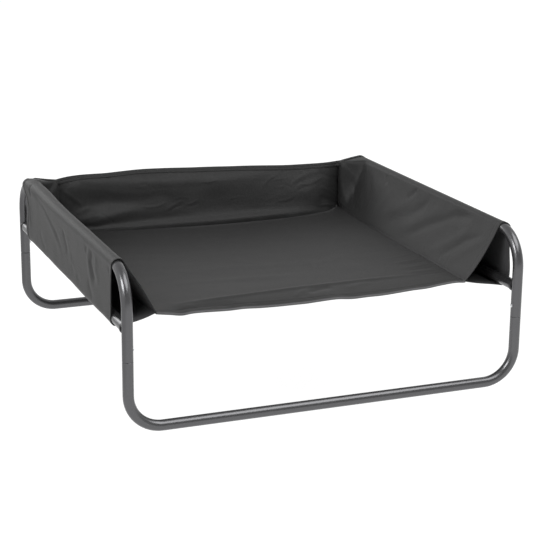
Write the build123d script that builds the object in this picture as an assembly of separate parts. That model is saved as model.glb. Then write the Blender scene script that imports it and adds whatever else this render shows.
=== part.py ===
from build123d import *
import math
import os

# Raised dog cot: steel tube frame with a cloth bed hung between two side frames.
# Millimetres. +Z up, X left to right across the front, Y from front to back.
# The origin is on the ground under the middle of the cot.

# Frame: tube centre lines, each measured from the one before
leg_spacing_x = 838.0
leg_spacing_y = 838.0
top_rail_z = 322.0
rail_drop = 110.0
stub_below_rail = 64.0
button_above_joint = 24.0
top_bend_radius = 72.0
foot_bend_radius = 68.0

# Tube stock
tube_diameter = 22.0
tube_wall = 1.2

# Push fit of the leg frames: a swaged end goes up into each side frame
spigot_length = 46.0
spigot_clearance = 0.1
spigot_neck = 10.0
spigot_taper = 4.0
spigot_lead = 1.0
mouth_chamfer = 0.7

# Snap button and its spring leaf
button_diameter = 7.6
button_proud = 2.0
button_crown = 1.2
button_clearance = 0.2
leaf_thickness = 0.6
leaf_width = 7.0
leaf_gap = 0.3
leaf_above_button = 7.0
leaf_below_button = 36.0
leaf_flat = 14.0
leaf_bend_radius = 2.4

# Plastic saddle plug at each end of a lower rail
saddle_diameter = 25.0
saddle_thickness = 3.0
saddle_wing = 5.0
saddle_gap = 0.1
plug_length = 22.0
plug_clearance = 0.1
plug_bore_diameter = 12.0
pin_diameter = 6.0
pin_reach = 2.0
pin_clearance = 0.2
edge_round = 0.6

# Cloth sleeves: ends measured back from the legs, the crease from the rails
cloth = 1.2
cloth_gap = 0.3
seam_gap = 0.3
hem_gap = 0.1
sleeve_front_top_inset = 64.0
sleeve_front_bottom_inset = 72.0
sleeve_back_inset = 87.0
crease_inset = 75.0
crease_drop = 3.0
slope_hollow = 5.0
outer_bow = 2.5

# Floor panel between the two side creases, with its sag at each station
floor_front_inset = 74.0
floor_front_recess = 10.0
floor_front_sag = 13.0
floor_band_width = 83.0
floor_band_sag = 4.0
floor_middle_sag = 6.0
floor_back_sag = 4.0
front_hem_width = 18.0

# Back wall between the two sleeves, bowed and slack in the middle
wall_corner_inset = 63.0
wall_top_inset = 67.0
wall_top_rise = 4.0
wall_foot_inset = 76.0
wall_foot_drop = 2.0
wall_foot_forward = 28.0
wall_slack_drop = 5.0
wall_slack_back = 20.0
wall_corner_cove = 1.5
wall_middle_cove = 8.0
wall_cove_share = 0.38
wall_station_share = 0.45
back_hem_width = 13.0

# Construction
overrun = 20.0

tube_radius = tube_diameter / 2
bore_radius = tube_radius - tube_wall
spigot_radius = bore_radius - spigot_clearance
spigot_bore = spigot_radius - tube_wall
button_radius = button_diameter / 2
button_hole = button_radius + button_clearance
leaf_face = (spigot_bore**2 - (leaf_width / 2) ** 2) ** 0.5 - leaf_gap
pin_radius = pin_diameter / 2
leg_x = leg_spacing_x / 2
leg_y = leg_spacing_y / 2
foot_z = tube_radius
lower_rail_z = top_rail_z - rail_drop
joint_z = lower_rail_z - stub_below_rail
button_z = joint_z + button_above_joint
crease_x = leg_x - crease_inset
crease_z = lower_rail_z - crease_drop
floor_front_y = floor_front_inset - leg_y
wall_half_width = leg_x - wall_corner_inset
wall_top_y = leg_y - wall_top_inset
wall_top_z = top_rail_z + wall_top_rise
wall_foot_y = leg_y - wall_foot_inset
wall_foot_z = crease_z - wall_foot_drop
rail_end_y = leg_y - tube_radius - saddle_thickness
cloth_path_radius = tube_radius + cloth_gap + cloth / 2

SIDES = {"left": -1, "right": 1}
ENDS = {"front": -1, "rear": 1}


def save(name, shape):
    shape.label = name
    export_step(shape, f"parts/{name}.step")


def tube_along(path):
    """A round tube of the frame's stock along a path."""
    section = Circle(tube_radius) - Circle(bore_radius)
    return sweep(Plane(origin=path @ 0, z_dir=path % 0) * section, path=path)


def turned(points, plane):
    """A solid turned from a (radius, height) outline about the plane's normal."""
    outline = make_face(Polyline(*[(r, 0, h) for r, h in points], close=True))
    return plane * revolve(outline, Axis.Z)


def cross_hole(radius, x, y, z, direction):
    """A cutter that goes from a leg's centre line out through one side of it."""
    plane = Plane(origin=(x, y, z), z_dir=direction)
    return plane * Cylinder(radius, tube_diameter, align=(Align.CENTER, Align.CENTER, Align.MIN))


def side_frame(side):
    """Inverted U: top rail, two bends and two leg stubs, with the mouths eased."""
    x = side * leg_x
    path = FilletPolyline(
        (x, -leg_y, joint_z),
        (x, -leg_y, top_rail_z),
        (x, leg_y, top_rail_z),
        (x, leg_y, joint_z),
        radius=top_bend_radius,
    )
    frame = tube_along(path)
    for end in ENDS.values():
        y = end * leg_y
        mouth = [
            (tube_radius - mouth_chamfer, joint_z),
            (tube_radius + mouth_chamfer, joint_z - mouth_chamfer),
            (tube_radius + mouth_chamfer, joint_z + 2 * mouth_chamfer),
        ]
        frame -= turned(mouth, Plane(origin=(x, y, 0)))
        frame -= cross_hole(button_hole, x, y, button_z, (-side, 0, 0))
        frame -= cross_hole(pin_radius + pin_clearance, x, y, lower_rail_z, (0, -end, 0))
    return frame


def leg_frame(end):
    """Upright U: bottom bar, two bends, two legs and a swaged spigot on each leg."""
    y = end * leg_y
    neck_z = joint_z - spigot_neck
    path = FilletPolyline(
        (-leg_x, y, neck_z),
        (-leg_x, y, foot_z),
        (leg_x, y, foot_z),
        (leg_x, y, neck_z),
        radius=foot_bend_radius,
    )
    frame = tube_along(path)
    top = joint_z + spigot_length
    outline = [
        (bore_radius, neck_z),
        (tube_radius, neck_z),
        (tube_radius, joint_z - mouth_chamfer),
        (tube_radius - mouth_chamfer, joint_z),
        (spigot_radius, joint_z),
        (spigot_radius, top - spigot_lead),
        (spigot_radius - spigot_lead / 2, top),
        (spigot_bore, top),
        (spigot_bore, joint_z),
        (bore_radius, joint_z - spigot_taper),
    ]
    for side in SIDES.values():
        x = side * leg_x
        spigot = turned(outline, Plane(origin=(x, y, 0)))
        spigot -= cross_hole(button_hole, x, y, button_z, (-side, 0, 0))
        frame += spigot
    return frame


def lower_rail(side):
    """Straight tube between the two leg stubs of one side frame."""
    x = side * leg_x
    return tube_along(Line((x, -rail_end_y, lower_rail_z), (x, rail_end_y, lower_rail_z)))


def rail_saddle(side, end):
    """Plug in the rail's end: hollow shank, saddle that hugs the leg, locating pin."""
    x = side * leg_x
    plane = Plane(origin=(x, end * leg_y, lower_rail_z), x_dir=(1, 0, 0), z_dir=(0, -end, 0))
    lift = (Align.CENTER, Align.CENTER, Align.MIN)
    flange_start = tube_radius - saddle_wing
    flange_length = saddle_wing + saddle_thickness
    flange = Pos(0, 0, flange_start) * Cylinder(saddle_diameter / 2, flange_length, align=lift)
    flange = chamfer(flange.edges().group_by(Axis.Z)[-1], edge_round)
    shank = Pos(0, 0, tube_radius) * Cylinder(
        bore_radius - plug_clearance, saddle_thickness + plug_length, align=lift
    )
    shank = chamfer(shank.edges().group_by(Axis.Z)[-1], edge_round)
    leg_cut = Rot(90, 0, 0) * Cylinder(tube_radius + saddle_gap, saddle_diameter + overrun)
    hollow_start = tube_radius + saddle_thickness
    hollow = Pos(0, 0, hollow_start) * Cylinder(
        plug_bore_diameter / 2, plug_length + overrun, align=lift
    )
    pin_end = bore_radius - pin_reach
    pin = Pos(0, 0, pin_end) * Cylinder(
        pin_radius, tube_radius + saddle_thickness - pin_end, align=lift
    )
    pin = chamfer(pin.edges().group_by(Axis.Z)[0], edge_round)
    return plane * ((flange + shank - leg_cut) + pin - hollow)


def snap_button(side, end):
    """Domed pin that stands through the spigot and the stub towards the other leg."""
    plane = Plane(origin=(side * leg_x, end * leg_y, button_z), z_dir=(-side, 0, 0))
    tip = tube_radius + button_proud
    crown_radius = (button_radius**2 + button_crown**2) / (2 * button_crown)
    stem = Pos(0, 0, leaf_face) * Cylinder(
        button_radius, tip - leaf_face, align=(Align.CENTER, Align.CENTER, Align.MIN)
    )
    return plane * (stem & Pos(0, 0, tip - crown_radius) * Sphere(crown_radius))


def spring_leaf(side, end):
    """V shaped strip inside the spigot that pushes the button out."""
    reach = leaf_face - leaf_thickness / 2
    top = leaf_above_button
    foot = -leaf_below_button
    route = FilletPolyline(
        (reach, top),
        (reach, top - leaf_flat),
        (0, foot),
        (-reach, top),
        radius=[leaf_bend_radius, leaf_bend_radius],
    )
    strip = extrude(trace(route, line_width=leaf_thickness), leaf_width / 2, both=True)
    plane = Plane(origin=(side * leg_x, end * leg_y, button_z), x_dir=(-side, 0, 0), z_dir=(0, side, 0))
    return plane * strip


def mirrored(side, shape):
    """Cloth is drawn on the right-hand side and mirrored for the left."""
    return shape if side > 0 else mirror(shape, Plane.YZ)


def tangent_point(point, centre, radius, turn):
    """Where a line from a point touches a circle, passing it on one side."""
    away = centre - point
    reach = (away.length**2 - radius**2) ** 0.5
    angle = math.atan2(away.Y, away.X) + turn * math.asin(radius / away.length)
    return point + Vector(math.cos(angle), math.sin(angle)) * reach


def on_circle(centre, radius, degrees):
    angle = math.radians(degrees)
    return centre + Vector(math.cos(angle), math.sin(angle)) * radius


def sleeve_section(offset):
    """Filled cross-section of the right sleeve in X and Z, grown by an offset.

    It runs from the crease up the slope, over the top rail, down outside, under
    the lower rail and back to the crease.
    """
    top = Vector(leg_x, top_rail_z)
    low = Vector(leg_x, lower_rail_z)
    crease = Vector(crease_x, crease_z)
    slope_line = (tangent_point(crease, top, cloth_path_radius, 1) - crease).normalized()
    under_line = (tangent_point(crease, low, cloth_path_radius, -1) - crease).normalized()
    half_angle = math.radians(slope_line.get_angle(under_line)) / 2
    outward = (slope_line + under_line).normalized() * -1
    tip = crease + outward * (offset / math.sin(half_angle))
    radius = cloth_path_radius + offset
    slope = tangent_point(tip, top, radius, 1)
    under = tangent_point(tip, low, radius, -1)
    across = Vector(slope_line.Y, -slope_line.X)
    slope_middle = (tip + slope) / 2 + across * slope_hollow
    outside_top = on_circle(top, radius, 0)
    outside_low = on_circle(low, radius, 0)
    outside_middle = (outside_top + outside_low) / 2 - Vector(outer_bow, 0)
    return make_face(
        [
            ThreePointArc(tip, slope_middle, slope),
            ThreePointArc(slope, on_circle(top, radius, 90), outside_top),
            ThreePointArc(outside_top, outside_middle, outside_low),
            ThreePointArc(outside_low, on_circle(low, radius, -45), under),
            Line(under, tip),
        ]
    )


def sleeve_prism(offset, front, back):
    """The sleeve's filled section, drawn out from front to back."""
    plane = Plane(origin=(0, back, 0), x_dir=(1, 0, 0), z_dir=(0, -1, 0))
    return extrude(plane * sleeve_section(offset), back - front)


def side_view_prism(points, left, right):
    """A polygon of (Y, Z) points drawn out along X."""
    plane = Plane(origin=(left, 0, 0), x_dir=(0, 1, 0), z_dir=(1, 0, 0))
    return extrude(plane * make_face(Polyline(*points, close=True)), right - left)


def front_view_prism(points, front, back):
    """A polygon of (X, Z) points drawn out along Y."""
    plane = Plane(origin=(0, back, 0), x_dir=(1, 0, 0), z_dir=(0, -1, 0))
    return extrude(plane * make_face(Polyline(*points, close=True)), back - front)


def sleeve(side):
    """Cloth tube round both rails of one side, with the corner piece at its back.

    The outside stops short of the slope at the back, and the front edge leans.
    """
    front = -leg_y
    back = wall_top_y + cloth / 2
    ring = sleeve_prism(cloth / 2, front, back) - sleeve_prism(-cloth / 2, front, back)
    high = top_rail_z + tube_diameter
    low = lower_rail_z - tube_diameter
    front_edge = [
        (front + sleeve_front_bottom_inset, low),
        (front + sleeve_front_top_inset, high),
        (front - overrun, high),
        (front - overrun, low),
    ]
    ring -= side_view_prism(front_edge, 0, leg_x + tube_diameter)
    back_edge = [
        (leg_y - sleeve_back_inset, low),
        (leg_y - sleeve_back_inset, top_rail_z),
        (back + overrun, top_rail_z),
        (back + overrun, low),
    ]
    ring -= side_view_prism(back_edge, leg_x, leg_x + tube_diameter)
    corner = wall_half_width + seam_gap
    gusset = front_view_prism(
        [(corner, low), (corner, wall_top_z), (leg_x, top_rail_z + cloth_path_radius), (leg_x, low)],
        back - cloth,
        back,
    )
    gusset -= sleeve_prism(0, front, back + overrun)
    gusset = gusset.solids().sort_by(Axis.Z)[-1]
    return mirrored(side, ring + gusset)


def sleeve_cutters():
    """The space that both sleeves and their seams take from the panels between them."""
    reach = cloth / 2 + seam_gap
    right = sleeve_prism(reach, -leg_y, leg_y)
    return [right, mirror(right, Plane.YZ)]


def floor_sheet():
    """The floor between the creases: sagging sections from the front edge to the back."""
    stations = [
        (floor_front_y, floor_front_sag),
        (floor_front_y + floor_band_width, floor_band_sag),
        (0, floor_middle_sag),
        (wall_foot_y, floor_back_sag),
    ]
    sections = []
    for y, sag in stations:
        curve = ThreePointArc((-crease_x, crease_z), (0, crease_z - sag), (crease_x, crease_z))
        plane = Plane(origin=(0, y, 0), x_dir=(1, 0, 0), z_dir=(0, -1, 0))
        sections.append(plane * trace(curve, cloth))
    return loft(sections)


def front_strip(depth):
    """A plan-view band of this depth behind the curved front edge of the floor."""
    corner = crease_x + overrun
    front = [(-corner, floor_front_y), (0, floor_front_y + floor_front_recess), (corner, floor_front_y)]
    rear = [(x, y + depth) for x, y in front]
    outline = [
        ThreePointArc(*front),
        Line(front[2], rear[2]),
        ThreePointArc(*reversed(rear)),
        Line(rear[0], front[0]),
    ]
    return extrude(Pos(0, 0, lower_rail_z) * make_face(outline), overrun, both=True)


def behind_wall_foot(clearance):
    """The plan-view space behind the back wall's bowed foot."""
    corner = wall_half_width
    foot = wall_foot_y - clearance
    outline = [
        ThreePointArc((-corner, foot), (0, foot - wall_foot_forward), (corner, foot)),
        Polyline((corner, foot), (corner, leg_y), (-corner, leg_y), (-corner, foot)),
    ]
    return extrude(Pos(0, 0, lower_rail_z) * make_face(outline), rail_drop, both=True)


def floor_panel():
    floor = floor_sheet() & front_strip(leg_spacing_y)
    floor -= behind_wall_foot(cloth / 2 + seam_gap)
    for cutter in sleeve_cutters():
        floor -= cutter
    return floor


def front_hem():
    """The turned-under edge of the floor, sewn below it."""
    hem = Pos(0, 0, -cloth - hem_gap) * floor_sheet() & front_strip(front_hem_width)
    for cutter in sleeve_cutters():
        hem -= cutter
    return hem


def wall_sheet():
    """Back wall: a cove from the floor's back edge up to a slack top edge."""
    slack_share = 1 - wall_station_share**2
    stations = [(-1, 0), (-wall_station_share, slack_share), (wall_station_share, slack_share), (1, 0)]
    sections = []
    for share, slack in stations:
        plane = Plane(origin=(share * wall_half_width, 0, 0), x_dir=(0, 1, 0), z_dir=(1, 0, 0))
        foot = Vector(wall_foot_y - slack * wall_foot_forward, wall_foot_z - slack * floor_back_sag)
        top = Vector(wall_top_y + slack * wall_slack_back, wall_top_z - slack * wall_slack_drop)
        depth = wall_corner_cove + slack * (wall_middle_cove - wall_corner_cove)
        cove = foot + (top - foot) * wall_cove_share + Vector(depth, 0)
        sections.append(plane * trace(ThreePointArc(foot, cove, top), cloth))
    return loft(sections)


def back_wall():
    wall = wall_sheet()
    for cutter in sleeve_cutters():
        wall -= cutter
    return wall


def back_hem():
    """The turned-over top edge of the back wall, sewn on its inner face."""
    lowest = wall_top_z - back_hem_width
    below = make_face(
        [
            ThreePointArc((-leg_x, lowest), (0, lowest - wall_slack_drop), (leg_x, lowest)),
            Polyline((leg_x, lowest), (leg_x, 0), (-leg_x, 0), (-leg_x, lowest)),
        ]
    )
    plane = Plane(origin=(0, leg_y, 0), x_dir=(1, 0, 0), z_dir=(0, -1, 0))
    hem = Pos(0, -cloth - hem_gap, 0) * wall_sheet() - extrude(plane * below, leg_y)
    for cutter in sleeve_cutters():
        hem -= cutter
    return hem


os.makedirs("parts", exist_ok=True)

for side_name, side in SIDES.items():
    save(f"{side_name}_side_frame", side_frame(side))
    save(f"{side_name}_lower_rail", lower_rail(side))
    save(f"{side_name}_sleeve", sleeve(side))
for end_name, end in ENDS.items():
    save(f"{end_name}_leg_frame", leg_frame(end))
    for side_name, side in SIDES.items():
        place = f"{end_name}_{side_name}"
        save(f"{place}_rail_saddle", rail_saddle(side, end))
        save(f"{place}_snap_button", snap_button(side, end))
        save(f"{place}_spring_leaf", spring_leaf(side, end))
save("floor_panel", floor_panel())
save("front_hem", front_hem())
save("back_wall", back_wall())
save("back_hem", back_hem())
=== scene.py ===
import math

import bpy
import numpy as np
from mathutils import Matrix, Vector, noise


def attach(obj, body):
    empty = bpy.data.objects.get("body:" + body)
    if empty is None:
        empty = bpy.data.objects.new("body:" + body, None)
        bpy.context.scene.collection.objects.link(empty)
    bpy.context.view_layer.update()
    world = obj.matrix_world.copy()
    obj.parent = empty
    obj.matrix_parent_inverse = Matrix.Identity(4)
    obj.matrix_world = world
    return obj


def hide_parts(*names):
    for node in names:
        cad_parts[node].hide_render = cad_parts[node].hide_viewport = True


# Raised dog cot: coated steel tube frame and a sewn cloth bed.
# Metres in Blender. The shapes below are worked out in millimetres, in the frame's own axes:
# X to the right, Y from the open front to the back wall, Z up from the ground.
MM = 0.001

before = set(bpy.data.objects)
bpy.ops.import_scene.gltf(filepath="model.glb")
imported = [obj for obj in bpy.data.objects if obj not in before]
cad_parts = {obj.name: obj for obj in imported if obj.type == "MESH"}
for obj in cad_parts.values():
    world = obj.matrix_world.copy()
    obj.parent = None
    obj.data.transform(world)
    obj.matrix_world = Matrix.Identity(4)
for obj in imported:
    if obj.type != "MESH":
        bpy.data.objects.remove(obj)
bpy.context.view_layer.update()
bpy.ops.object.select_all(action="DESELECT")

# Small tools


def reach_of(name):
    """Lowest and highest corner of a piece of the frame, in millimetres."""
    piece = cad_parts[name]
    corners = np.array([piece.matrix_world @ Vector(corner) for corner in piece.bound_box]) / MM
    return corners.min(axis=0).round(1), corners.max(axis=0).round(1)


def smooth(t):
    """Eases from 0 to 1."""
    t = np.clip(t, 0, 1)
    return t * t * (3 - 2 * t)


def bell(distance, half_width):
    """1 where the distance is 0, and about a third at the half-width."""
    return np.exp(-((distance / half_width) ** 2))


def arch(t):
    """0 at both ends and 1 halfway."""
    return 4 * t * (1 - t)


def progress(at, start, end):
    """The share of the way from start to end, from 0 to 1."""
    return np.clip((at - start) / (end - start), 0, 1)


def groove(distance, depth=0.4, half_width=1.4):
    """How far a row of stitches pulls the cloth in."""
    return -depth * bell(distance, half_width)


def through(stations, at):
    """Smooth values at the given places, through stations of (place, value)."""
    places = np.array([place for place, _ in stations], float)
    values = np.array([value for _, value in stations], float)
    slopes = np.gradient(values, places, axis=0)
    at = np.clip(np.asarray(at, float), places[0], places[-1])
    i = np.clip(np.searchsorted(places, at, side="right") - 1, 0, len(places) - 2)
    gap = places[i + 1] - places[i]
    t = (at - places[i]) / gap
    if values.ndim > 1:
        gap, t = gap[..., None], t[..., None]
    start = (1 + 2 * t) * (1 - t) ** 2 * values[i] + t * (1 - t) ** 2 * gap * slopes[i]
    end = t * t * (3 - 2 * t) * values[i + 1] + t * t * (t - 1) * gap * slopes[i + 1]
    return start + end


def crowded(shares, spots):
    """Shares along a sheet, closer together at the given spots: (share, half-width, how much)."""
    fine = np.linspace(0, 1, 2001)
    density = np.ones_like(fine)
    for place, half_width, extra in spots:
        density += extra * bell(fine - place, half_width)
    run = np.concatenate([[0], np.cumsum(density[1:] + density[:-1])])
    return np.interp(shares, run / run[-1], fine)


def fold_heights(folds, p, q):
    """How far folds lift a sheet at (p, q).

    A fold is its points along the sheet, its half-width at each end and its height: a ridge,
    or a valley where the height is negative. It fades out at both ends.
    """
    lift = np.zeros_like(p)
    for points, widths, height in folds:
        points = np.array(points, float)
        runs = np.hypot(*np.diff(points, axis=0).T)
        before = np.concatenate([[0], np.cumsum(runs)])
        nearest = np.full_like(p, np.inf)
        along = np.zeros_like(p)
        for start, end, run, done in zip(points, points[1:], runs, before):
            way = end - start
            t = np.clip(((p - start[0]) * way[0] + (q - start[1]) * way[1]) / run**2, 0, 1)
            away = np.hypot(p - start[0] - t * way[0], q - start[1] - t * way[1])
            closer = away < nearest
            nearest = np.where(closer, away, nearest)
            along = np.where(closer, (done + t * run) / before[-1], along)
        half_width = widths[0] + along * (widths[1] - widths[0])
        fade = smooth(along * 4) * smooth((1 - along) * 4)
        lift += height * fade * bell(nearest, half_width)
    return lift


def unevenness(points, *sizes):
    """Gentle slackness of hand-stretched cloth, from noise of each (size, height) in millimetres."""
    return sum(
        height * np.array([noise.noise(Vector(point) / size) for point in points])
        for size, height in sizes
    )


def use_only(piece):
    """Selects only this piece and makes it active."""
    bpy.ops.object.select_all(action="DESELECT")
    piece.select_set(True)
    bpy.context.view_layer.objects.active = piece


def apply_all(piece):
    """Applies a piece's modifiers in their order."""
    use_only(piece)
    for modifier in list(piece.modifiers):
        bpy.ops.object.modifier_apply(modifier=modifier.name)


# Where the frame carries the cloth, and how thick the cloth is, single and hemmed
rail_low, rail_high = reach_of("right_lower_rail")
RAIL_X, _, LOW_RAIL_Z = ((rail_low + rail_high) / 2).tolist()
TUBE_RADIUS = float(rail_high[2] - rail_low[2]) / 2
TOP_RAIL_Z = float(reach_of("right_side_frame")[1][2]) - TUBE_RADIUS
CLOTH = 0.9
HEM_CLOTH = 1.8
RAIL_GAP = 0.3
WRAP_RADIUS = TUBE_RADIUS + RAIL_GAP + CLOTH
# An edge between two faces that turns by more than this stays sharp
SHARP_EDGE = math.radians(50)

# Every sheet's grid after its folds: shares across, shares along, points and normals
sheets = {}


def cloth_sheet(name, counts, flat, place, lift=None, hem=None, crowd=((), ())):
    """A sheet of cloth: a grid laid where the sheet hangs, lifted by its folds, thickened behind.

    place gives the points in millimetres from their shares across and along the sheet, and lift
    how far folds raise them. hem says how much of its hem's thickness each point has. flat is the
    sheet's cut size in millimetres, which its UV map follows. crowd names the spots where the
    grid is finer, across and along.
    """
    columns, rows = counts
    bpy.ops.object.select_all(action="DESELECT")
    bpy.ops.mesh.primitive_grid_add(x_subdivisions=columns, y_subdivisions=rows, size=2)
    piece = bpy.context.object
    piece.name = piece.data.name = name
    mesh = piece.data
    start = np.empty(len(mesh.vertices) * 3)
    mesh.vertices.foreach_get("co", start)
    across, along = (start.reshape(-1, 3)[:, :2].T + 1) / 2
    order = np.lexsort((across.round(6), along.round(6)))
    across = crowded(across, crowd[0])
    along = crowded(along, crowd[1])
    points = place(across, along)
    normals = np.empty(len(mesh.vertices) * 3)
    for again in (lift is not None, False):
        mesh.vertices.foreach_set("co", (points * MM).ravel())
        mesh.update()
        mesh.vertices.foreach_get("normal", normals)
        if again:
            points = points + normals.reshape(-1, 3) * lift(across, along, points)[:, None]
    grid = (rows + 1, columns + 1)
    sheets[name] = (
        across[order].reshape(grid)[0],
        along[order].reshape(grid)[:, 0],
        points[order].reshape(*grid, 3),
        normals.reshape(-1, 3)[order].reshape(*grid, 3),
    )
    corners = np.empty(len(mesh.loops), int)
    mesh.loops.foreach_get("vertex_index", corners)
    uv = np.stack([across * flat[0], along * flat[1]], axis=1)[corners] * MM
    mesh.uv_layers.active.data.foreach_set("uv", uv.ravel())
    for _ in ("outer side", "inner side"):
        mesh.materials.append(None)
    solid = piece.modifiers.new("thickness", "SOLIDIFY")
    solid.thickness = CLOTH * MM
    solid.offset = -1
    solid.material_offset = 1
    if hem is not None:
        group = piece.vertex_groups.new(name="hem")
        for index, share in enumerate(hem(across, along)):
            group.add([index], float(share), "REPLACE")
        solid.thickness = HEM_CLOTH * MM
        solid.vertex_group = "hem"
        solid.thickness_vertex_group = CLOTH / HEM_CLOTH
    apply_all(piece)
    bpy.ops.object.shade_smooth_by_angle(angle=SHARP_EDGE)
    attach(piece, "bed")
    return piece


def on_sheet(name, across, along, above=0.0):
    """Points on a finished sheet, in millimetres, raised above it by the given height."""
    u, v, points, normals = sheets[name]
    i = np.clip(np.searchsorted(u, across, side="right") - 1, 0, len(u) - 2)
    j = np.clip(np.searchsorted(v, along, side="right") - 1, 0, len(v) - 2)
    s = ((across - u[i]) / (u[i + 1] - u[i]))[:, None]
    t = ((along - v[j]) / (v[j + 1] - v[j]))[:, None]

    def between(grid):
        near = grid[j, i] + s * (grid[j, i + 1] - grid[j, i])
        far = grid[j + 1, i] + s * (grid[j + 1, i + 1] - grid[j + 1, i])
        return near + t * (far - near)

    return between(points) + above * between(normals)



# The sleeves: cloth tubes round both rails of a side
#
# Millimetres along the sleeve's section, from the crease up the slope, over the top rail, down
# outside, round the lower rail and back to the crease. The slope meets the top rail at an angle
# from its outer side.
SEAM_END = 89.0
SLOPE_END = 134.0
MEETING = math.radians(150)
PEAK = SLOPE_END + (MEETING - math.pi / 2) * WRAP_RADIUS
TOP_END = SLOPE_END + MEETING * WRAP_RADIUS
OUTSIDE_END = TOP_END + TOP_RAIL_Z - LOW_RAIL_Z
LOW_END = OUTSIDE_END + 22.0
SECTION = LOW_END + 84.0
SLEEVE_LENGTH = 715.0

# The crease on each side: (Y, (X, Z)), drawn on the right-hand side
CREASES = {
    "right": [
        (-365, (337, 211.5)), (-345, (337.7, 211)), (-286, (340, 209.5)), (-149, (344.5, 209)),
        (9, (345.5, 209)), (125, (348, 209)), (250, (352, 210)), (320, (355, 212.5)), (352, (356.5, 215.5)),
    ],
    "left": [
        (-365, (337.5, 216)), (-345, (338, 215)), (-300, (339.5, 211.5)), (-200, (342, 209.5)),
        (0, (344, 209)), (250, (350, 209.5)), (320, (354, 211.5)), (352, (356.5, 213.5)),
    ],
}
# The cut ends of each sleeve: (millimetres along the section, Y)
FRONT_EDGES = {
    "right": [
        (0, -345), (30, -349), (100, -352), (134, -354), (147, -356), (166, -361), (200, -363), (276, -363),
        (290, -356), (310, -349), (345, -346), (SECTION, -345),
    ],
    "left": [
        (0, -345), (60, -348), (110, -354), (134, -359), (147, -362), (166, -360), (185, -352), (200, -348),
        (276, -347), (296, -348), (330, -346), (SECTION, -345),
    ],
}
BACK_EDGES = {
    "right": [
        (0, 350), (60, 350), (89, 350), (100, 352), (147, 362), (158, 361), (172, 350), (190, 338),
        (210, 335), (276, 334), (298, 328), (340, 335), (SECTION, 348),
    ],
    "left": [
        (0, 350), (60, 350), (89, 350), (100, 352), (147, 362), (160, 361), (174, 350), (190, 338),
        (210, 335), (236, 338), (257, 347), (270, 344), (280, 334), (298, 326), (340, 335), (SECTION, 348),
    ],
}
# A fold leaves the top rail at this Y and runs to the top of the corner seam, at (X, Z)
CORNER_START = {"right": 292.0, "left": 312.0}
CORNER_TURN = [(0, 0), (0.3, 0.12), (0.5, 0.5), (0.7, 0.86), (1, 1)]
SEAM_TOP = {"right": (357.5, 328.5), "left": (357.5, 332.5)}
SEAM_Y = 350.0
SLOPE_HOLLOW = {
    "right": [(-350, 4), (0, 5), (350, 4)],
    "left": [(-350, -3), (-260, 2), (0, 4), (350, 4)],
}
# Slack over the top rail at its back end, and the Y where it starts and where it is full
TOP_SLACK = {"right": 0.6, "left": 2.9}
SLACK_START = {"right": 325.0, "left": 290.0}
SLACK_FULL = 362.0
# How far the cloth rises halfway from the fold to the rail's crown, and is drawn in outside
CROWN_RISE = 1.6
OUTSIDE_HOLLOW = 2.5
# How far the cloth hangs below the lower rail's middle, how far outside it, and its sag inwards
LOW_HANG = {"right": 15.2, "left": 14.2}
LOWEST_ASIDE = 2.4
UNDER_SAG = {"right": 1.0, "left": 4.75}
# How far the cloth stands off inside the top rail: (Y, millimetres)
INNER_SLACK = {
    "right": [(-365, 0), (0, 0), (200, 0.2), (280, 0.5), (330, 0.4), (365, 0)],
    "left": [
        (-365, 1.6), (-300, 2.6), (-200, 3.2), (-100, 3.2), (0, 3.0), (80, 3.8), (150, 5.8), (220, 8.4),
        (280, 9.4), (320, 8.0), (350, 2.6), (365, 0.4),
    ],
}
# The left sleeve's bulge: its height, then middle and half-width along the section and in Y
LEFT_BULGE = (2.0, (166, 20), (286, 60))
# How far both sleeves puff up beside the corner seam
CORNER_PUFF = 4.6
# This far round the top rail's middle, folds go in no deeper than the gap to the tube, and past
# a fade they may go in by more
TIGHT_MIDDLE = 150.0
TIGHT_REACH = 20.0
TIGHT_FADE = 14.0
DEEPEST = 4.0

# Directions in a section (X, Z): into the slope, off the top rail where they meet, and upwards
INTO_SLEEVE = np.array([0.83, -0.55])
OFF_RAIL = np.array([-0.5, 0.87])
UPWARDS = np.array([0.0, 1.0])


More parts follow.
